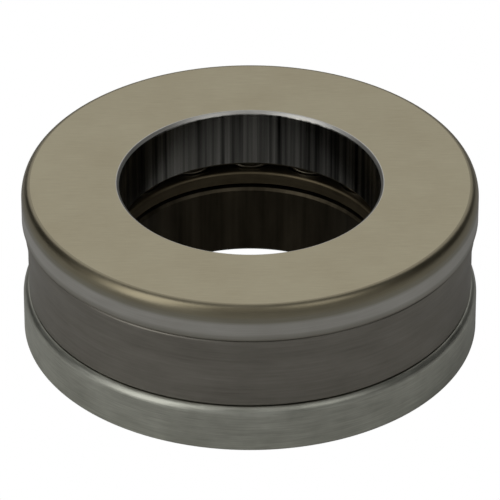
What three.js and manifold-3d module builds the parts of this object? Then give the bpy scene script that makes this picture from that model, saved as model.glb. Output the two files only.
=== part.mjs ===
// A banded thrust ball bearing: an upper race that turns, a lower race that stands still, a ring of
// caged balls rolling in the grooves between them, and a pressed steel band that is crimped onto the
// lower race and hooks over the upper one, so that the whole bearing stays together in the hand.
// Millimetres, +Z along the shaft, origin at the centre of the lower race's bottom face.
import * as THREE from 'three';
import { mergeVertices } from 'three/addons/utils/BufferGeometryUtils.js';
import Module from 'manifold-3d';

// Driving dimensions: the envelope and the two races
const overallHeight = 18.0;
const boreRadius = 13.9;
const raceWidth = 8.9;
const raceGap = 3.0;
const lowerExtraHeight = 1.3;
const shoulderHeight = 2.7;
const seatHeight = 2.85;
const rimEdgeIn = 0.95;
const rimEdgeDown = 1.45;
const rimStep = 0.6;
const rimUnderEdge = 0.12;
const lipStep = 0.6;
const lipEdgeRadius = 1.0;
const bottomEdge = 0.4;
const boreChamfer = 0.35;
const smallChamfer = 0.3;

// Driving dimensions: the rolling set
const ballDiameter = 6.35;
const grooveConformity = 0.53;
const rollingGap = 0.06;
const pocketGap = 0.12;
const pocketWeb = 0.5;
const cageSheet = 0.7;
const cageRimDrop = 0.8;
const cageBoreRecess = 0.35;
const cageBandGap = 0.45;

// Driving dimensions: the band and how it holds on
const bandSheet = 0.7;
const bandFlare = 0.35;
const bandFlareHeight = 3.4;
const bandBend = 0.3;
const bandFootBend = 0.2;
const hookDepth = 0.45;
const hookEndGap = 0.35;
const crimpDepth = 0.4;
const runningGap = 0.3;
const rimGap = 0.12;
const seatGap = 0.08;
const lipGap = 0.08;

// How finely round shapes are divided
const turnSegments = 64;
const grooveSteps = 8;
const edgeSteps = 4;
const flareSteps = 4;
const pocketSegments = 20;
const ballDetail = 2;

// Heights that follow from the sizes above: the two races share what the gap between them leaves
const upperThickness = (overallHeight - raceGap - lowerExtraHeight) / 2;
const lowerThickness = upperThickness + lowerExtraHeight;
const upperFace = overallHeight - upperThickness;
const ballHeight = lowerThickness + raceGap / 2;
const lipHeight = lowerThickness - seatHeight;
const rimUnderside = upperFace + shoulderHeight;
const bandBottom = lipHeight + lipGap;
const bandTop = rimUnderside - rimGap;
const hookUnderside = bandTop - bandSheet;
const crimpTop = bandBottom + bandSheet;

// Radii that follow, from the bore outwards
const pitchRadius = boreRadius + raceWidth / 2;
const shoulderRadius = boreRadius + raceWidth;
const bandInside = shoulderRadius + runningGap;
const bandRadius = bandInside + bandSheet;
const bandTopRadius = bandRadius + bandFlare;
const rimRadius = bandRadius + rimStep;
const lipRadius = bandRadius + lipStep;
const hookRadius = shoulderRadius - hookDepth;
const seatRadius = bandInside - seatGap;
const crimpRadius = seatRadius - crimpDepth;

// The lip's rounded edge stops where it meets the band's outside, so the step sets how far it turns
const lipEdgeAngle = Math.acos(1 - lipStep / lipEdgeRadius);
const lipEdgeRise = lipEdgeRadius * Math.sin(lipEdgeAngle);

// The rolling set: as many balls as the pitch circle holds with the cage's web between the pockets
const ballRadius = ballDiameter / 2;
const grooveRadius = ballDiameter * grooveConformity;
const pocketRadius = ballRadius + pocketGap;
const ballCount = Math.floor(Math.PI / Math.asin((pocketRadius + pocketWeb / 2) / pitchRadius));

const rightAngle = Math.PI / 2;
const point = (radius, height) => new THREE.Vector2(radius, height);

// Points on an elliptical arc about (radius, height), both ends included; angles from +radius to +Z.
function arc(radius, height, acrossSize, upSize, start, end, steps) {
  const points = [];
  for (let i = 0; i <= steps; i += 1) {
    const angle = start + ((end - start) * i) / steps;
    points.push(point(radius + acrossSize * Math.cos(angle), height + upSize * Math.sin(angle)));
  }
  return points;
}

// A ring turned about the shaft axis. The section is listed bottom, outside, top, bore.
function turnedRing(section) {
  const closed = [...section, section[0].clone()];
  return new THREE.LatheGeometry(closed, turnSegments).rotateX(rightAngle);
}

// A ball groove in a flat race face, from the inner edge to the outer. The way is +1 where the groove
// is cut upwards into the upper race, and -1 where it is cut downwards into the lower one.
function ballGroove(faceHeight, way) {
  const deepest = ballHeight + way * (ballRadius + rollingGap);
  const centreHeight = deepest - way * grooveRadius;
  const edgeAngle = Math.asin((way * (faceHeight - centreHeight)) / grooveRadius);
  return arc(
    pitchRadius, centreHeight, grooveRadius, way * grooveRadius, Math.PI - edgeAngle, edgeAngle, grooveSteps,
  );
}

// The upper race: a full-width rim over a narrower shoulder, with a hook groove between them.
function upperRace() {
  const hookFloor = hookRadius - hookEndGap;
  const hookLedge = hookUnderside - runningGap;
  return turnedRing([
    point(boreRadius, upperFace + smallChamfer),
    point(boreRadius + smallChamfer, upperFace),
    ...ballGroove(upperFace, 1),
    point(shoulderRadius - smallChamfer, upperFace),
    point(shoulderRadius, upperFace + smallChamfer),
    point(shoulderRadius, hookLedge),
    point(hookFloor, hookLedge),
    point(hookFloor, rimUnderside),
    point(rimRadius - rimUnderEdge, rimUnderside),
    point(rimRadius, rimUnderside + rimUnderEdge),
    ...arc(
      rimRadius - rimEdgeIn, overallHeight - rimEdgeDown, rimEdgeIn, rimEdgeDown, 0, rightAngle, edgeSteps,
    ),
    point(boreRadius + boreChamfer, overallHeight),
    point(boreRadius, overallHeight - boreChamfer),
  ]);
}

// The lower race: a full-width lip that the bearing stands on, and above it the seat of the band.
function lowerRace() {
  const crimpFloor = crimpRadius - seatGap;
  return turnedRing([
    point(boreRadius, boreChamfer),
    point(boreRadius + boreChamfer, 0),
    ...arc(lipRadius - bottomEdge, bottomEdge, bottomEdge, bottomEdge, -rightAngle, 0, edgeSteps),
    ...arc(
      lipRadius - lipEdgeRadius, lipHeight - lipEdgeRise, lipEdgeRadius, lipEdgeRadius,
      0, lipEdgeAngle, edgeSteps,
    ),
    point(crimpFloor, lipHeight),
    point(crimpFloor, crimpTop + seatGap),
    point(seatRadius, crimpTop + seatGap),
    point(seatRadius, lowerThickness - smallChamfer),
    point(seatRadius - smallChamfer, lowerThickness),
    ...ballGroove(lowerThickness, -1).reverse(),
    point(boreRadius + smallChamfer, lowerThickness),
    point(boreRadius, lowerThickness - smallChamfer),
  ]);
}

// The band's wall between two heights, widening towards the top along half a cosine wave.
function flaredWall(innerOffset, fromHeight, toHeight) {
  const points = [];
  for (let i = 0; i <= flareSteps; i += 1) {
    const share = i / flareSteps;
    const widening = (bandFlare * (1 - Math.cos(Math.PI * share))) / 2;
    points.push(point(bandRadius - innerOffset + widening, fromHeight + (toHeight - fromHeight) * share));
  }
  return points;
}

// The band: one pressed sheet whose two edges are bent inwards, the lower one crimped under the lower
// race's seat and the upper one hooked, with a running gap, into the groove below the upper race's rim.
function retainingBand() {
  const flareTop = bandTop - bandBend;
  const flareStart = flareTop - bandFlareHeight;
  return turnedRing([
    point(crimpRadius, bandBottom),
    ...arc(
      bandRadius - bandFootBend, bandBottom + bandFootBend, bandFootBend, bandFootBend,
      -rightAngle, 0, edgeSteps,
    ),
    ...flaredWall(0, flareStart, flareTop),
    ...arc(bandTopRadius - bandBend, flareTop, bandBend, bandBend, 0, rightAngle, edgeSteps).slice(1),
    point(hookRadius, bandTop),
    point(hookRadius, hookUnderside),
    ...flaredWall(bandSheet, flareStart, hookUnderside).reverse(),
    point(bandInside, crimpTop),
    point(crimpRadius, crimpTop),
  ]);
}

// A closed geometry as a solid for cutting, with its shared vertices merged.
function toSolid(wasm, geometry) {
  const bare = geometry.clone();
  bare.deleteAttribute('normal');
  bare.deleteAttribute('uv');
  const merged = mergeVertices(bare, 1e-5);
  return new wasm.Manifold(new wasm.Mesh({
    numProp: 3,
    vertProperties: new Float32Array(merged.attributes.position.array),
    triVerts: new Uint32Array(merged.index.array),
  }));
}

function toGeometry(solid) {
  const mesh = solid.getMesh();
  const geometry = new THREE.BufferGeometry();
  geometry.setAttribute('position', new THREE.BufferAttribute(mesh.vertProperties, 3));
  geometry.setIndex(new THREE.BufferAttribute(mesh.triVerts, 1));
  geometry.computeVertexNormals();
  return geometry;
}

// The place of a ball on the pitch circle, as an angle about the shaft.
const ballAngle = (index) => (2 * Math.PI * index) / ballCount;

// The cage: a pressed channel ring with its rims turned down, pierced by one round pocket for each ball.
function ballCage(wasm) {
  const insideRadius = boreRadius + cageBoreRecess;
  const outsideRadius = bandInside - cageBandGap;
  const webTop = ballHeight + cageSheet / 2;
  const webBottom = ballHeight - cageSheet / 2;
  const rimBottom = webBottom - cageRimDrop;
  const channel = turnedRing([
    point(insideRadius, rimBottom),
    point(insideRadius + cageSheet, rimBottom),
    point(insideRadius + cageSheet, webBottom),
    point(outsideRadius - cageSheet, webBottom),
    point(outsideRadius - cageSheet, rimBottom),
    point(outsideRadius, rimBottom),
    point(outsideRadius, webTop),
    point(insideRadius, webTop),
  ]);
  const cutHeight = 2 * ballDiameter;
  let cage = toSolid(wasm, channel);
  for (let i = 0; i < ballCount; i += 1) {
    const pocket = new THREE.CylinderGeometry(pocketRadius, pocketRadius, cutHeight, pocketSegments);
    pocket.rotateX(rightAngle);
    pocket.translate(pitchRadius, 0, ballHeight);
    pocket.rotateZ(ballAngle(i));
    cage = cage.subtract(toSolid(wasm, pocket));
  }
  return toGeometry(cage);
}

const groundSteel = { color: 0x918b78, roughness: 0.35, metalness: 1 };
const pressedSteel = { color: 0x4a4743, roughness: 0.45, metalness: 1 };
const cageSteel = { color: 0x6b655a, roughness: 0.4, metalness: 1 };
const ballSteel = { color: 0xb8b8b8, roughness: 0.1, metalness: 1 };

function piece(name, geometry, finish) {
  const mesh = new THREE.Mesh(geometry, new THREE.MeshStandardMaterial(finish));
  mesh.name = name;
  return mesh;
}

const wasm = await Module();
wasm.setup();

const bearing = new THREE.Group();
bearing.add(piece('lower_race', lowerRace(), groundSteel));
bearing.add(piece('retaining_band', retainingBand(), pressedSteel));
bearing.add(piece('upper_race', upperRace(), groundSteel));
bearing.add(piece('ball_cage', ballCage(wasm), cageSteel));

for (let i = 0; i < ballCount; i += 1) {
  const name = `ball_${String(i + 1).padStart(2, '0')}`;
  const ball = piece(name, new THREE.IcosahedronGeometry(ballRadius, ballDetail), ballSteel);
  ball.position.set(pitchRadius * Math.cos(ballAngle(i)), pitchRadius * Math.sin(ballAngle(i)), ballHeight);
  bearing.add(ball);
}

export default bearing;
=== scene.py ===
import math

import bmesh
import bpy
import numpy as np
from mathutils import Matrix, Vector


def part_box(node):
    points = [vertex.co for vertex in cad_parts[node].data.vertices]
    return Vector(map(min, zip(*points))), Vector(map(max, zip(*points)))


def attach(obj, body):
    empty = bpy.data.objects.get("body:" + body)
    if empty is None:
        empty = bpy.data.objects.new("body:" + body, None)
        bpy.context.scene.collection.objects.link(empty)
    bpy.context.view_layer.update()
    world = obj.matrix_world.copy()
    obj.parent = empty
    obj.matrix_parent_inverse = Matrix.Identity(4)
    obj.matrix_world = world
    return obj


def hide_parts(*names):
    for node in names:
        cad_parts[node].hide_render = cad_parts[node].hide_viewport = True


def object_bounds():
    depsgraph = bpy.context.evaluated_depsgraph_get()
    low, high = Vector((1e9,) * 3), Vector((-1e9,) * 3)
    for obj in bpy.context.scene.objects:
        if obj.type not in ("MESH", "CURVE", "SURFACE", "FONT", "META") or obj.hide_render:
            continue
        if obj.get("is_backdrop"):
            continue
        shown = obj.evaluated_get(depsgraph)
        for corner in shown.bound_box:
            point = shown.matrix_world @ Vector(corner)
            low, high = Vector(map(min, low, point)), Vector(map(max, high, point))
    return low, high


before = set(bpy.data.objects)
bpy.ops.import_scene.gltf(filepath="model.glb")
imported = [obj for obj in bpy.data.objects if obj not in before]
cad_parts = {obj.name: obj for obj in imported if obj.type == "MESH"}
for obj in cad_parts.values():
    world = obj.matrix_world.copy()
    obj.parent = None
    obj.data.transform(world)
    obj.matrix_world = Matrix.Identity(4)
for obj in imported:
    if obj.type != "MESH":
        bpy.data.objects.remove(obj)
cad_low, cad_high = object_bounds()

# ------------------------------------------------------------------------------------------------
# The studio: a pale floor, a grey room and soft boxes at the left, the right and behind the bearing.
# The camera looks down on the top face from a third of the way up, through a long lens.
# ------------------------------------------------------------------------------------------------
SENSOR_WIDTH = 36.0
LENS = 396.8
CAMERA_DISTANCE = 0.592
CAMERA_ELEVATION = math.radians(33.35)
CAMERA_SHIFT_UP = 0.0031
CLIP_NEAR = 0.01
CLIP_FAR = 20.0
FLOOR_HALF_SIZE = 3.0
FLOOR_DROP = 0.00002
WALL_GREY = 0.22
DARK_GREY = 0.03
PAPER_GREY = 0.77

middle = (cad_low + cad_high) / 2


def add(tree, kind, values=None, links=None, **settings):
    """Adds one node. Settings are its own choices, values set its sockets, and links feed its sockets."""
    made = tree.nodes.new(kind)
    for name, choice in settings.items():
        setattr(made, name, choice)
    for socket, value in (values or {}).items():
        made.inputs[socket].default_value = value
    for socket, (source, output) in (links or {}).items():
        tree.links.new(source.outputs[output], made.inputs[socket])
    return made


def new_material(name):
    """An empty node material and its tree."""
    material = bpy.data.materials.new(name)
    material.use_nodes = True
    material.node_tree.nodes.clear()
    return material, material.node_tree


def direction(azimuth, elevation):
    """The unit vector at an azimuth, from +X towards +Y, and an elevation, both in degrees."""
    turn = math.radians(azimuth)
    rise = math.radians(elevation)
    return (math.cos(rise) * math.cos(turn), math.cos(rise) * math.sin(turn), math.sin(rise))


camera = bpy.data.objects.new("camera", bpy.data.cameras.new("camera"))
camera.data.sensor_width = SENSOR_WIDTH
camera.data.lens = LENS
camera.data.shift_y = CAMERA_SHIFT_UP
camera.data.clip_start = CLIP_NEAR
camera.data.clip_end = CLIP_FAR
camera.location = (
    middle.x,
    middle.y - CAMERA_DISTANCE * math.cos(CAMERA_ELEVATION),
    middle.z + CAMERA_DISTANCE * math.sin(CAMERA_ELEVATION),
)
camera.rotation_euler = (math.pi / 2 - CAMERA_ELEVATION, 0, 0)
bpy.context.scene.collection.objects.link(camera)
bpy.context.scene.camera = camera
bpy.context.scene.view_settings.view_transform = "Standard"

# The room: grey walls that the steel mirrors, with three dark stretches, one behind to the right and two
# behind to the left. The camera itself sees only white paper behind the bearing. Each stretch is an azimuth
# and an elevation in degrees, then how squarely one has to face it, as a cosine, for full and for no dark.
DARK_STRETCHES = ((24, 24, 0.90, 0.55), (158, 26, 0.94, 0.76), (142, 0, 0.96, 0.80))

world = bpy.data.worlds.new("grey_room")
world.use_nodes = True
room = world.node_tree
room.nodes.clear()
looking = add(room, "ShaderNodeTexCoord")
shade = None
for azimuth, elevation, narrow, wide in DARK_STRETCHES:
    facing = add(
        room, "ShaderNodeVectorMath", {1: direction(azimuth, elevation)}, {0: (looking, "Generated")},
        operation="DOT_PRODUCT",
    )
    stretch = add(
        room, "ShaderNodeMapRange", {"From Min": wide, "From Max": narrow, "To Min": 1.0, "To Max": 0.0},
        {"Value": (facing, "Value")}, interpolation_type="SMOOTHSTEP",
    )
    if shade is None:
        shade = (stretch, "Result")
    else:
        both = add(room, "ShaderNodeMath", {}, {0: shade, 1: (stretch, "Result")}, operation="MULTIPLY")
        shade = (both, "Value")
wall_tone = add(
    room, "ShaderNodeMapRange", {"To Min": DARK_GREY, "To Max": WALL_GREY}, {"Value": shade},
)
walls = add(room, "ShaderNodeBackground", {"Color": (1, 1, 1, 1)}, {"Strength": (wall_tone, "Result")})
backdrop = add(room, "ShaderNodeBackground", {"Color": (1, 1, 1, 1), "Strength": 1.0})
light_path = add(room, "ShaderNodeLightPath")
seen = add(room, "ShaderNodeMixShader", {}, {
    0: (light_path, "Is Camera Ray"), 1: (walls, "Background"), 2: (backdrop, "Background"),
})
add(room, "ShaderNodeOutputWorld", links={"Surface": (seen, "Shader")})
bpy.context.scene.world = world


def soft_box(name, azimuth, elevation, distance, width, height, radiance):
    """A white oblong lamp that faces the bearing. Its power is pi times its area times the radiance wanted.
    The azimuth turns from +X towards +Y. Angles are in degrees and sizes in metres."""
    lamp = bpy.data.lights.new(name, "AREA")
    lamp.shape = "RECTANGLE"
    lamp.size = width
    lamp.size_y = height
    lamp.energy = math.pi * width * height * radiance
    holder = bpy.data.objects.new(name, lamp)
    holder.location = np.array(direction(azimuth, elevation)) * distance
    holder.rotation_euler = (math.pi / 2 - math.radians(elevation), 0, math.radians(azimuth) + math.pi / 2)
    bpy.context.scene.collection.objects.link(holder)


soft_box("back_box", 90, 47, 0.9, 1.3, 0.85, 0.45)
soft_box("left_box", 218, 31, 0.7, 0.38, 0.72, 1.4)
soft_box("right_box", 311, 47, 0.7, 0.24, 0.34, 0.95)

floor_mesh = bpy.data.meshes.new("floor")
floor_corners = np.array([(-1, -1, 0), (1, -1, 0), (1, 1, 0), (-1, 1, 0)]) * FLOOR_HALF_SIZE
floor_mesh.from_pydata((floor_corners - (0, 0, FLOOR_DROP)).tolist(), [], [(0, 1, 2, 3)])
floor = bpy.data.objects.new("floor", floor_mesh)
bpy.context.scene.collection.objects.link(floor)
# Back-lit white paper: the camera sees it evenly white, and the steel mirrors it as a lit grey sheet
# that darkens under the bearing.
paper, tree = new_material("back_lit_paper")
sheet = add(tree, "ShaderNodeBsdfDiffuse", {"Color": (PAPER_GREY, PAPER_GREY, PAPER_GREY, 1)})
glow = add(tree, "ShaderNodeEmission", {"Color": (1, 1, 1, 1), "Strength": 1.0})
light_path = add(tree, "ShaderNodeLightPath")
paper_look = add(tree, "ShaderNodeMixShader", {}, {
    0: (light_path, "Is Camera Ray"), 1: (sheet, "BSDF"), 2: (glow, "Emission"),
})
add(tree, "ShaderNodeOutputMaterial", links={"Surface": (paper_look, "Shader")})
floor_mesh.materials.append(paper)
floor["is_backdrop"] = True

# ------------------------------------------------------------------------------------------------
# The upper race: a ring of through-hardened bearing steel, turned, hardened and then ground on its
# faces, rim and bore. The rounded outer edge isn't ground, so a brown-grey film of the heat treatment stays;
# its darker tint there is partly painted shade.
# Sizes are in millimetres. An ease is how far from a corner its rounding starts.
# ------------------------------------------------------------------------------------------------
MM = 0.001
TURN_STEPS = 384
EASE_STEPS = 4
GROOVE_STEPS = 24
EDGE_STEPS = 20
GUARD = 0.03
LONG_EDGE = 0.18
EASE_LIMIT = 0.45
SHARP_ANGLE = math.radians(32)
EDGE_BREAK = 0.12
RIM_EASE = 0.04
CHAMFER_EASE = 0.05
FACE_EASE = 0.06
SEAT_EASE = 0.08
BORE_EASE = 0.1
RIM_EDGE_IN = 0.95
RIM_EDGE_DOWN = 1.45
RIM_UNDER_EDGE = 0.12
BORE_CHAMFER = 0.35
SMALL_CHAMFER = 0.3
SHOULDER_HEIGHT = 2.7
BALL_DIAMETER = 6.35
GROOVE_CONFORMITY = 0.53
GROOVE_RADIUS = GROOVE_CONFORMITY * BALL_DIAMETER
ROLLING_GAP = 0.06
RUNNING_GAP = 0.3
BAND_SHEET = 0.7
BAND_FLARE = 0.35
RIM_STEP = 0.6
RIM_GAP = 0.12
HOOK_DEPTH = 0.45
HOOK_END_GAP = 0.35


def extent(node):
    """A turned CAD node's bore radius, outside radius, bottom and top, in millimetres."""
    places = np.empty(len(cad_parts[node].data.vertices) * 3)
    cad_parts[node].data.vertices.foreach_get("co", places)
    x, y, z = places.reshape(-1, 3).T / MM
    radius = np.hypot(x, y)
    return radius.min(), radius.max(), z.min(), z.max()


def arc(radius, height, across, up, start, end, steps):
    """Points on an ellipse about (radius, height): the centre plus across times the cosine and up times
    the sine of an angle that runs from start to end."""
    angle = np.linspace(start, end, steps + 1)
    return np.stack([radius + across * np.cos(angle), height + up * np.sin(angle)], axis=1)


def corner(radius, height, ease=EDGE_BREAK):
    """One corner of a section and the distance at which its easing starts."""
    return np.array([[radius, height]]), ease


def eased_section(parts):
    """A closed section from parts (points, ease, finish). A corner P between neighbours is eased along the
    parabola (1-s)^2 A + 2s(1-s) P + s^2 B, where A and B lie at the ease from P on its two edges. Each long
    straight edge gets a guard point close to both ends, which keeps its shading flat."""
    points = np.concatenate([p for p, _, _ in parts])
    ease = np.concatenate([np.full(len(p), e) for p, e, _ in parts])
    finish = np.concatenate([np.full(len(p), f) for p, _, f in parts])
    before = np.roll(points, 1, axis=0) - points
    after = np.roll(points, -1, axis=0) - points
    before_length = np.hypot(*before.T)
    after_length = np.hypot(*after.T)
    reach = np.minimum(ease, EASE_LIMIT * np.minimum(before_length, after_length))
    share = np.linspace(0, 1, EASE_STEPS + 1)[:, None]
    outline = []
    finishes = []
    for i, place in enumerate(points):
        start = place + before[i] / before_length[i] * reach[i]
        end = place + after[i] / after_length[i] * reach[i]
        if reach[i] > 0:
            eased = (1 - share) ** 2 * start + 2 * share * (1 - share) * place + share ** 2 * end
        else:
            eased = place[None]
        outline.append(eased)
        finishes.append(np.full(len(eased), finish[i]))
        left = after_length[i] - reach[i] - reach[(i + 1) % len(points)]
        if left > LONG_EDGE:
            along = after[i] / after_length[i]
            outline.append(np.stack([end + along * GUARD, end + along * (left - GUARD)]))
            finishes.append(np.full(2, finish[i]))
    return np.concatenate(outline), np.concatenate(finishes)


def solid(name, vertices, faces, materials, finishes=None):
    """Makes an object at the origin from vertices in millimetres, with smooth faces and sharp corners."""
    mesh = bpy.data.meshes.new(name)
    mesh.from_pydata((vertices * MM).tolist(), [], faces.tolist())
    for material in materials:
        mesh.materials.append(material)
    if finishes is not None:
        mesh.polygons.foreach_set("material_index", finishes.astype(np.int32))
    mesh.polygons.foreach_set("use_smooth", np.ones(len(faces), bool))
    mesh.set_sharp_from_angle(angle=SHARP_ANGLE)
    mesh.update()
    made = bpy.data.objects.new(name, mesh)
    bpy.context.scene.collection.objects.link(made)
    return made


def turned_ring(name, parts, materials):
    """A section carried round the shaft axis: the point (radius, height) at turn angle a stands at
    (radius cos a, radius sin a, height)."""
    outline, finishes = eased_section(parts)
    count = len(outline)
    turn = np.linspace(0, 2 * np.pi, TURN_STEPS, endpoint=False)[:, None]
    radius, height = outline.T
    places = np.stack([radius * np.cos(turn), radius * np.sin(turn), height + 0 * turn], axis=-1)
    step = np.arange(TURN_STEPS)[:, None]
    along = np.arange(count)[None]
    this_turn = step * count
    next_turn = (step + 1) % TURN_STEPS * count
    next_along = (along + 1) % count
    faces = np.stack([
        this_turn + along, next_turn + along, next_turn + next_along, this_turn + next_along,
    ], axis=-1).reshape(-1, 4)
    return solid(name, places.reshape(-1, 3), faces, materials, np.tile(finishes, TURN_STEPS))


def ball_groove(face_height, way):
    """The groove's arc from its inner to its outer edge. The way is 1 for up and -1 for down."""
    centre = ball_height + way * (BALL_DIAMETER / 2 + ROLLING_GAP - GROOVE_RADIUS)
    edge = math.asin(way * (face_height - centre) / GROOVE_RADIUS)
    return arc(pitch_radius, centre, GROOVE_RADIUS, way * GROOVE_RADIUS, math.pi - edge, edge, GROOVE_STEPS)


bore_radius, rim_radius, upper_face, top_height = extent("upper_race")
_, lip_radius, _, lower_top = extent("lower_race")
band_radius = rim_radius - RIM_STEP
band_inside = band_radius - BAND_SHEET
shoulder_radius = band_inside - RUNNING_GAP
pitch_radius = (bore_radius + shoulder_radius) / 2
ball_height = (upper_face + lower_top) / 2
rim_underside = upper_face + SHOULDER_HEIGHT
band_top = rim_underside - RIM_GAP

NOISE_DETAIL = 3.0
NOISE_ROUGHNESS = 0.6
NOISE_LOW = 0.3
NOISE_HIGH = 0.7
ROUGHNESS_PLAY = 0.06


def linear(hex_colour):
    """An sRGB colour such as "8f8977" as linear red, green, blue and an alpha of one."""
    channel = np.array([int(hex_colour[i:i + 2], 16) for i in (0, 2, 4)]) / 255
    straight = np.where(channel <= 0.04045, channel / 12.92, ((channel + 0.055) / 1.055) ** 2.4)
    return (*(float(c) for c in straight), 1.0)


def streaks(tree, place, density):
    """Noise squeezed along each axis: the density is how many lumps lie in a millimetre of X, Y and Z."""
    per_metre = tuple(count / MM for count in density)
    squeezed = add(tree, "ShaderNodeMapping", {"Scale": per_metre}, {"Vector": place})
    return add(
        tree, "ShaderNodeTexNoise", {"Scale": 1.0, "Detail": NOISE_DETAIL, "Roughness": NOISE_ROUGHNESS},
        {"Vector": (squeezed, "Vector")},
    )


def tinted_by_height(tree, place, colour, film_and_shade):
    """The colour times a tint that changes with height, from one (height, tint) to the next. Sockets 6 and 7
    of the Mix node are its two colours."""
    heights = [height for height, _ in film_and_shade]
    low = min(heights)
    high = max(heights)
    along = add(tree, "ShaderNodeSeparateXYZ", {}, {"Vector": place})
    share = add(
        tree, "ShaderNodeMapRange", {"From Min": low * MM, "From Max": high * MM}, {"Value": (along, "Z")},
    )
    tint = add(tree, "ShaderNodeValToRGB", {}, {"Fac": (share, "Result")})
    tint.color_ramp.interpolation = "EASE"
    stops = tint.color_ramp.elements
    while len(stops) < len(film_and_shade):
        stops.new(0.5)
    for stop, (height, hex_colour) in zip(stops, film_and_shade):
        stop.position = (height - low) / (high - low)
        stop.color = linear(hex_colour)
    return add(
        tree, "ShaderNodeMix", {"Factor": 1.0}, {6: (colour, "Color"), 7: (tint, "Color")},
        data_type="RGBA", blend_type="MULTIPLY",
    )


def steel(name, light, dark, roughness, spread, marks, blotches, bump_height, film_and_shade=()):
    """Bare steel. The marks are the tool's, and shade the colour, the roughness and the bump; the
    blotches are the oil film's, and shade the colour and the roughness. Both are given as how many lie in
    a millimetre of X, Y and Z. A small spread makes them stark. The height tint darkens the colour by
    height, for a film
    on the steel and for painted shade: it is a list of (height, tint). Heights are in millimetres."""
    material, tree = new_material(name)
    place = (add(tree, "ShaderNodeTexCoord"), "Object")
    mark = streaks(tree, place, marks)
    blotch = streaks(tree, place, blotches)
    both = add(tree, "ShaderNodeMath", {}, {0: (mark, "Fac"), 1: (blotch, "Fac")}, operation="ADD")
    half = add(tree, "ShaderNodeMath", {1: 0.5}, {0: (both, "Value")}, operation="MULTIPLY")
    colour = add(tree, "ShaderNodeValToRGB", {}, {"Fac": (half, "Value")})
    colour.color_ramp.elements[0].position = 0.5 - spread
    colour.color_ramp.elements[0].color = linear(dark)
    colour.color_ramp.elements[1].position = 0.5 + spread
    colour.color_ramp.elements[1].color = linear(light)
    if film_and_shade:
        colour = tinted_by_height(tree, place, colour, film_and_shade)
    rough = add(tree, "ShaderNodeMapRange", {
        "From Min": NOISE_LOW, "From Max": NOISE_HIGH,
        "To Min": roughness - ROUGHNESS_PLAY, "To Max": roughness + ROUGHNESS_PLAY,
    }, {"Value": (half, "Value")})
    bump = add(
        tree, "ShaderNodeBump", {"Strength": 1.0, "Distance": bump_height * MM}, {"Height": (mark, "Fac")},
    )
    surface = add(tree, "ShaderNodeBsdfPrincipled", {"Metallic": 1.0}, {
        "Base Color": (colour, "Color" if not film_and_shade else "Result"),
        "Roughness": (rough, "Result"),
        "Normal": (bump, "Normal"),
    })
    add(tree, "ShaderNodeOutputMaterial", links={"Surface": (surface, "BSDF")})
    return material


# Face-ground bearing steel: a flat satin with straight wheel marks and a warm, mottled film of oil. The
# real marks are a few hundredths of a millimetre apart and wouldn't show, so they are drawn coarser.
ground_face = steel(
    "face_ground_bearing_steel", "cdc5aa", "b5ab90", 0.42, 0.20, (0.35, 9, 9), (0.16, 0.16, 0.16), 0.0008,
)
# Ground rim: the same marks drawn as coarse, under a tint by height. The tint is full bright on the middle
# of the rim land and darkens towards its lower edge, by the gap above the band: painted shade. On the
# rounded edge above, its darker tint is partly the heat-treatment film and partly painted shade that dims
# the reflection there.
ground_rim_film_and_shade = steel(
    "rim_ground_steel_film_and_painted_shade", "cac8c1", "b4b1a9", 0.36, 0.22, (0.2, 0.2, 9), (0.14, 0.14, 0.3), 0.001,
    [(rim_underside, "b4b1a8"), (rim_underside + 0.5, "e0dfdb"), (rim_underside + 0.95, "ffffff"),
     (rim_underside + 1.9, "ffffff"), (rim_underside + 2.5, "cecbbe"), (rim_underside + 3.2, "c6bfa9"),
     (rim_underside + 3.8, "ccc3aa"), (top_height, "d6ceb7")],
)
# Bore's top chamfer: steel paler than the rest of the race, a painted highlight that brightens the thin
# bright line along the edge.
chamfer_painted_highlight = steel(
    "chamfer_steel_painted_highlight", "e6e5e0", "d2d0c9", 0.42, 0.20, (0.26, 0.26, 7), (0.19, 0.19, 0.24), 0.0005,
)
# Heat-treatment skin: a thin brown-black scale, dull, which grinding hasn't reached.
dark_skin = steel(
    "heat_treated_skin", "6b6756", "524e40", 0.40, 0.2, (0.7, 0.7, 3.5), (0.22, 0.22, 0.22), 0.001,
)
# Honed bore: mirror-like, with a near-black colour that paints the shade down the bore, between long pale
# scratches along the shaft whose pale colour paints glints. The real scratches are a few hundredths of a
# millimetre wide, and are drawn as broader bundles so that they show.
bore_painted_shade_and_glints = steel(
    "honed_bore_painted_shade_and_glints", "c6c5be", "090807", 0.22, 0.10, (1.2, 1.2, 0.01), (0.44, 0.44, 0.006), 0.0015,
)
# Lapped raceway: a near mirror, with the faintest lines along the groove, drawn coarser than real.
raceway = steel(
    "lapped_raceway", "cfcecb", "bdbcb8", 0.12, 0.2, (0.3, 0.3, 5), (0.2, 0.2, 0.2), 0.0002,
)

FACE, RIM, SKIN, BORE, RACEWAY, EDGE = range(6)
upper_finishes = [ground_face, ground_rim_film_and_shade, dark_skin, bore_painted_shade_and_glints, raceway, chamfer_painted_highlight]
hook_radius = shoulder_radius - HOOK_DEPTH
hook_floor = hook_radius - HOOK_END_GAP
hook_ledge = band_top - BAND_SHEET - RUNNING_GAP

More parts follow.
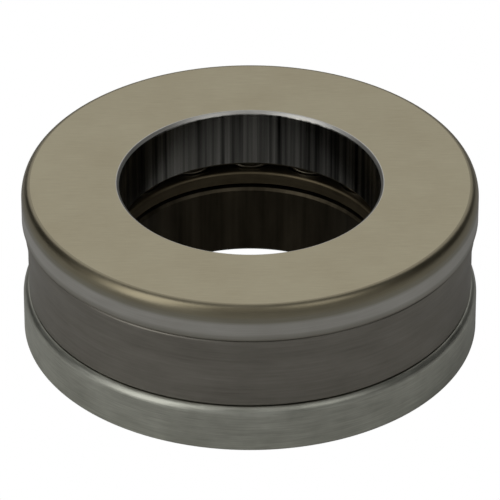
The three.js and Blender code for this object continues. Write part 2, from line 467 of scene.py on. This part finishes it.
upper_race = turned_ring("upper_race_ring", [
    (*corner(bore_radius, upper_face + SMALL_CHAMFER, CHAMFER_EASE), SKIN),
    (*corner(bore_radius + SMALL_CHAMFER, upper_face, CHAMFER_EASE), FACE),
    (ball_groove(upper_face, 1)[:-1], 0, RACEWAY),
    (ball_groove(upper_face, 1)[-1:], 0, FACE),
    (*corner(shoulder_radius - SMALL_CHAMFER, upper_face, CHAMFER_EASE), SKIN),
    (*corner(shoulder_radius, upper_face + SMALL_CHAMFER, CHAMFER_EASE), RIM),
    (*corner(shoulder_radius, hook_ledge), SKIN),
    (*corner(hook_floor, hook_ledge), SKIN),
    (*corner(hook_floor, rim_underside), SKIN),
    (*corner(rim_radius - RIM_UNDER_EDGE, rim_underside, RIM_EASE), RIM),
    (*corner(rim_radius, rim_underside + RIM_UNDER_EDGE, RIM_EASE), RIM),
    (arc(rim_radius - RIM_EDGE_IN, top_height - RIM_EDGE_DOWN, RIM_EDGE_IN, RIM_EDGE_DOWN,
         0, math.pi / 2, EDGE_STEPS)[:-1], 0, RIM),
    (*corner(rim_radius - RIM_EDGE_IN, top_height, 0), FACE),
    (*corner(bore_radius + BORE_CHAMFER, top_height, FACE_EASE), EDGE),
    (*corner(bore_radius, top_height - BORE_CHAMFER, BORE_EASE), BORE),
], upper_finishes)
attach(upper_race, "upper_assembly")
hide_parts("upper_race")

# ------------------------------------------------------------------------------------------------
# The lower race: the same steel and the same grinding. Its full-width lip stands on the housing, and
# the narrower seat above the lip is what the band is pressed on and crimped to.
# ------------------------------------------------------------------------------------------------
SEAT_HEIGHT = 2.85
LIP_EDGE_RADIUS = 1.0
BOTTOM_EDGE = 0.4
SEAT_GAP = 0.08
LIP_GAP = 0.08
CRIMP_DEPTH = 0.4
BOTTOM_STEPS = 12

lip_height = lower_top - SEAT_HEIGHT
band_bottom = lip_height + LIP_GAP
crimp_top = band_bottom + BAND_SHEET
seat_radius = band_inside - SEAT_GAP
crimp_radius = seat_radius - CRIMP_DEPTH
crimp_floor = crimp_radius - SEAT_GAP
lip_edge_angle = math.acos(1 - (lip_radius - band_radius) / LIP_EDGE_RADIUS)

# Turned edge: the same steel where only the lathe has been, so greyer and streaked round the lip. The
# real feed lines are 0.05 mm apart, and are drawn coarser so that they show.
turned_edge = steel(
    "turned_edge_steel", "d6d7cb", "a4a499", 0.40, 0.20, (0.26, 0.26, 7), (0.19, 0.19, 0.24), 0.001,
)
# The lower bore: brown-black and dull, painted shade deep in the bore, with faint streaks along the shaft.
lower_bore_painted_shade = steel(
    "lower_bore_painted_shade_steel", "625a4a", "312c22", 0.44, 0.16, (0.7, 0.7, 0.02), (0.3, 0.3, 0.06), 0.001,
)
lower_finishes = [ground_face, turned_edge, dark_skin, lower_bore_painted_shade, raceway]

lower_race = turned_ring("lower_race_ring", [
    (*corner(bore_radius, BORE_CHAMFER, SEAT_EASE), SKIN),
    (*corner(bore_radius + BORE_CHAMFER, 0, FACE_EASE), FACE),
    (arc(lip_radius - BOTTOM_EDGE, BOTTOM_EDGE, BOTTOM_EDGE, BOTTOM_EDGE,
         -math.pi / 2, 0, BOTTOM_STEPS), 0, RIM),
    (arc(lip_radius - LIP_EDGE_RADIUS, lip_height - LIP_EDGE_RADIUS * math.sin(lip_edge_angle),
         LIP_EDGE_RADIUS, LIP_EDGE_RADIUS, 0, lip_edge_angle, EDGE_STEPS), 0, RIM),
    (*corner(crimp_floor, lip_height), SKIN),
    (*corner(crimp_floor, crimp_top + SEAT_GAP), SKIN),
    (*corner(seat_radius, crimp_top + SEAT_GAP, SEAT_EASE), RIM),
    (*corner(seat_radius, lower_top - SMALL_CHAMFER, CHAMFER_EASE), SKIN),
    (*corner(seat_radius - SMALL_CHAMFER, lower_top, CHAMFER_EASE), FACE),
    (ball_groove(lower_top, -1)[:0:-1], 0, RACEWAY),
    (ball_groove(lower_top, -1)[:1], 0, BORE),
    (*corner(bore_radius + SMALL_CHAMFER, lower_top, CHAMFER_EASE), BORE),
    (*corner(bore_radius, lower_top - SMALL_CHAMFER, CHAMFER_EASE), BORE),
], lower_finishes)
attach(lower_race, "lower_assembly")
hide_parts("lower_race")

# ------------------------------------------------------------------------------------------------
# The band: one strip of mild steel, drawn to a ring. Its lower edge is crimped into the lower race's
# groove, and its upper edge turns in under the rim, where it flares out a little.
# ------------------------------------------------------------------------------------------------
BAND_BEND = 0.3
BAND_FOOT_BEND = 0.2
BAND_FLARE_HEIGHT = 3.4
BEND_STEPS = 10
FLARE_STEPS = 16

# Drawn mild steel: darker and duller than ground steel, with faint lines round it from the die. Real die
# lines are finer, and are drawn a quarter of a millimetre apart so that they show.
drawn_steel = steel(
    "drawn_band_steel", "9a968d", "817d74", 0.46, 0.2, (0.16, 0.16, 4.2), (0.19, 0.19, 0.42), 0.0015,
)


def flared_wall(inset, low, high):
    """The band's wall: its radius grows by the flare times (1 - cos(pi s)) / 2 as s goes up from 0 to 1."""
    share = np.linspace(0, 1, FLARE_STEPS + 1)
    radius = band_radius - inset + BAND_FLARE * (1 - np.cos(np.pi * share)) / 2
    return np.stack([radius, low + (high - low) * share], axis=1)


flare_top = band_top - BAND_BEND
flare_start = flare_top - BAND_FLARE_HEIGHT
flare_radius = band_radius + BAND_FLARE
hook_underside = band_top - BAND_SHEET

band = turned_ring("retaining_band_shell", [
    (*corner(crimp_radius, band_bottom), 0),
    (arc(band_radius - BAND_FOOT_BEND, band_bottom + BAND_FOOT_BEND, BAND_FOOT_BEND, BAND_FOOT_BEND,
         -math.pi / 2, 0, BEND_STEPS), 0, 0),
    (flared_wall(0, flare_start, flare_top), 0, 0),
    (arc(flare_radius - BAND_BEND, flare_top, BAND_BEND, BAND_BEND, 0, math.pi / 2, BEND_STEPS)[1:], 0, 0),
    (*corner(hook_radius, band_top), 0),
    (*corner(hook_radius, hook_underside), 0),
    (flared_wall(BAND_SHEET, flare_start, hook_underside)[::-1], 0, 0),
    (*corner(band_inside, crimp_top, CHAMFER_EASE), 0),
    (*corner(crimp_radius, crimp_top), 0),
], [drawn_steel])
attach(band, "lower_assembly")
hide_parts("retaining_band")

# ------------------------------------------------------------------------------------------------
# The cage: a ring pressed from steel strip, with its rims turned down and one round pocket punched for
# each ball. It keeps the balls apart and turns at half the upper race's rate.
# ------------------------------------------------------------------------------------------------
CAGE_SHEET = 0.7
CAGE_BEND = 0.35
POCKET_GAP = 0.12
POCKET_BREAK = 0.1
FOOT_BREAK = 0.1
SEAM_REACH = 0.002
ARC_STEPS = 24
SIDE_STEPS = 24
SPAN_STEPS = 6
CAGE_BEND_STEPS = 6

cage_inside, cage_outside, cage_bottom, cage_top = extent("ball_cage")
ball_names = sorted(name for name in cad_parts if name.startswith("ball_") and name != "ball_cage")
ball_count = len(ball_names)
web_bottom = cage_top - CAGE_SHEET

# Pressed strip: dull steel in a grey-brown darkened as painted shade, where it sits deep between the races.
# Its rolling lines are drawn coarser than real.
cage_strip_painted_shade = steel(
    "pressed_cage_strip_painted_shade", "82775f", "645a47", 0.50, 0.2, (0.26, 0.26, 2.6), (0.26, 0.26, 0.26), 0.001,
)


def pocket_sheet(inside, outside, height, break_height):
    """One pocket's share of the web, as a grid whose rows run out from the pocket to the share's edge and
    whose columns run round it. The edge is a piece of a ring: two arcs about the shaft and two radial
    sides. A point is the pocket's edge point plus a share of the way to the outer point."""
    half = math.pi / ball_count
    across = np.linspace(-half, half, ARC_STEPS, endpoint=False)
    outwards = np.linspace(inside, outside, SIDE_STEPS, endpoint=False)
    inwards = np.linspace(outside, inside, SIDE_STEPS, endpoint=False)
    turn = np.concatenate([across, np.full(SIDE_STEPS, half), -across, np.full(SIDE_STEPS, -half)])
    radius = np.concatenate([
        np.full(ARC_STEPS, inside), outwards, np.full(ARC_STEPS, outside), inwards,
    ])
    edge = np.stack([radius * np.cos(turn), radius * np.sin(turn)], axis=1)
    bearing = np.arctan2(edge[:, 1], edge[:, 0] - pitch_radius)
    towards = np.stack([np.cos(bearing), np.sin(bearing)], axis=1)
    pocket_radius = BALL_DIAMETER / 2 + POCKET_GAP
    wall = np.array([pitch_radius, 0]) + towards * pocket_radius
    mouth = np.array([pitch_radius, 0]) + towards * (pocket_radius + POCKET_BREAK)
    share = np.linspace(0, 1, SPAN_STEPS + 1)[:, None, None]
    flat = mouth + share * (edge - mouth)
    rows = np.concatenate([wall[None], flat])
    heights = np.full(rows.shape[:2], height)
    heights[0] = break_height
    return np.concatenate([rows, heights[..., None]], axis=-1)


def grid_faces(rows, columns, first, flipped):
    """Quads of a grid whose columns close on themselves, numbered from first."""
    row = np.arange(rows - 1)[:, None]
    column = np.arange(columns)[None]
    following = (column + 1) % columns
    faces = np.stack([
        row * columns + column, (row + 1) * columns + column,
        (row + 1) * columns + following, row * columns + following,
    ], axis=-1).reshape(-1, 4) + first
    return faces[:, ::-1] if flipped else faces


def turned_about_shaft(places, angle):
    """The places turned about the shaft axis by the angle."""
    cosine = math.cos(angle)
    sine = math.sin(angle)
    spin = np.array([[cosine, sine, 0], [-sine, cosine, 0], [0, 0, 1]])
    return places @ spin


def cage_rim(edge_radius, way):
    """One rim's section from the web's top round the bend, down, under and back up to the web's underside.
    The way is -1 for the bore rim and 1 for the outer rim."""
    face = edge_radius - way * CAGE_SHEET
    bend = arc(edge_radius - way * CAGE_BEND, cage_top - CAGE_BEND, way * CAGE_BEND, CAGE_BEND,
               math.pi / 2, 0, CAGE_BEND_STEPS)
    foot = np.array([
        [edge_radius, cage_bottom + FOOT_BREAK], [edge_radius - way * FOOT_BREAK, cage_bottom],
        [face + way * FOOT_BREAK, cage_bottom], [face, cage_bottom + FOOT_BREAK],
    ])
    return np.concatenate([bend, foot, [[face, web_bottom]]])


# One pocket's share of the web: its top, its underside and the pocket's wall between them. The shares are
# turned to every pocket, the two rims are added, and the seams are sewn at the end.
web_top_sheet = pocket_sheet(
    cage_inside + CAGE_BEND, cage_outside - CAGE_BEND, cage_top, cage_top - POCKET_BREAK,
)
web_under_sheet = pocket_sheet(
    cage_inside + CAGE_SHEET, cage_outside - CAGE_SHEET, web_bottom, web_bottom + POCKET_BREAK,
)
pocket_wall = np.stack([web_under_sheet[0], web_top_sheet[0]])
sheets = [(web_top_sheet, False), (web_under_sheet, True), (pocket_wall, False)]
cage_places = []
cage_faces = []
placed = 0
for index in range(ball_count):
    for places, flipped in sheets:
        turned = turned_about_shaft(places, 2 * math.pi * index / ball_count)
        cage_places.append(turned.reshape(-1, 3))
        cage_faces.append(grid_faces(*places.shape[:2], placed, flipped))
        placed += places.shape[0] * places.shape[1]
rim_turn = (np.arange(ball_count * ARC_STEPS) / ARC_STEPS - 0.5) * 2 * math.pi / ball_count
for edge_radius, way in ((cage_inside, -1), (cage_outside, 1)):
    radius, height = cage_rim(edge_radius, way).T
    rim = np.stack([
        radius[:, None] * np.cos(rim_turn), radius[:, None] * np.sin(rim_turn),
        height[:, None] + 0 * rim_turn,
    ], axis=-1)
    cage_places.append(rim.reshape(-1, 3))
    cage_faces.append(grid_faces(*rim.shape[:2], placed, way < 0))
    placed += rim.shape[0] * rim.shape[1]
cage = solid("ball_cage_ring", np.concatenate(cage_places), np.concatenate(cage_faces), [cage_strip_painted_shade])
sewn = bmesh.new()
sewn.from_mesh(cage.data)
bmesh.ops.remove_doubles(sewn, verts=sewn.verts, dist=SEAM_REACH * MM)
bmesh.ops.recalc_face_normals(sewn, faces=sewn.faces)
sewn.to_mesh(cage.data)
sewn.free()
cage.data.set_sharp_from_angle(angle=SHARP_ANGLE)
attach(cage, "cage_assembly")
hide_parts("ball_cage")

# ------------------------------------------------------------------------------------------------
# The balls: chrome steel, hardened, ground and lapped, and sorted so that all sixteen are one size.
# They run in the two grooves, each in its own pocket of the cage.
# ------------------------------------------------------------------------------------------------
BALL_RINGS = 32
BALL_SIDES = 64

# Lapped chrome steel: a clean mirror, with lapping marks far too fine to see, so only a trace is drawn.
lapped_ball = steel(
    "lapped_chrome_steel_ball", "d6d6d4", "cbcbc8", 0.06, 0.2, (0.9, 0.9, 0.9), (0.3, 0.3, 0.3), 0.00005,
)


def sphere(centre, radius):
    """A ball with its poles on the vertical: rings at angles t from the top stand at radius sin t from
    the upright axis, at a height of radius cos t. Each pole is one vertex."""
    fall = np.linspace(0, math.pi, BALL_RINGS + 1)[1:-1, None]
    turn = np.linspace(0, 2 * math.pi, BALL_SIDES, endpoint=False)
    rings = np.stack([
        np.sin(fall) * np.cos(turn), np.sin(fall) * np.sin(turn), np.cos(fall) + 0 * turn,
    ], axis=-1).reshape(-1, 3)
    poles = np.array([[0, 0, 1], [0, 0, -1]])
    places = np.concatenate([rings, poles]) * radius + centre
    faces = grid_faces(BALL_RINGS - 1, BALL_SIDES, 0, False)
    side = np.arange(BALL_SIDES)
    following = (side + 1) % BALL_SIDES
    top = len(rings)
    bottom = top + 1
    last = (BALL_RINGS - 2) * BALL_SIDES
    top_cap = np.stack([np.full(BALL_SIDES, top), side, following], axis=1)
    bottom_cap = np.stack([np.full(BALL_SIDES, bottom), last + following, last + side], axis=1)
    return places, [*faces.tolist(), *top_cap.tolist(), *bottom_cap.tolist()]


for name in ball_names:
    low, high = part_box(name)
    centre = np.array((low + high) / 2) / MM
    places, faces = sphere(centre, BALL_DIAMETER / 2)
    mesh = bpy.data.meshes.new(name + "_sphere")
    mesh.from_pydata((places * MM).tolist(), [], faces)
    mesh.materials.append(lapped_ball)
    mesh.polygons.foreach_set("use_smooth", np.ones(len(faces), bool))
    ball = bpy.data.objects.new(name + "_sphere", mesh)
    bpy.context.scene.collection.objects.link(ball)
    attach(ball, name + "_body")
    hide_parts(name)

# The visual model's box, found as the CAD model's was at the start.
low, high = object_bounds()
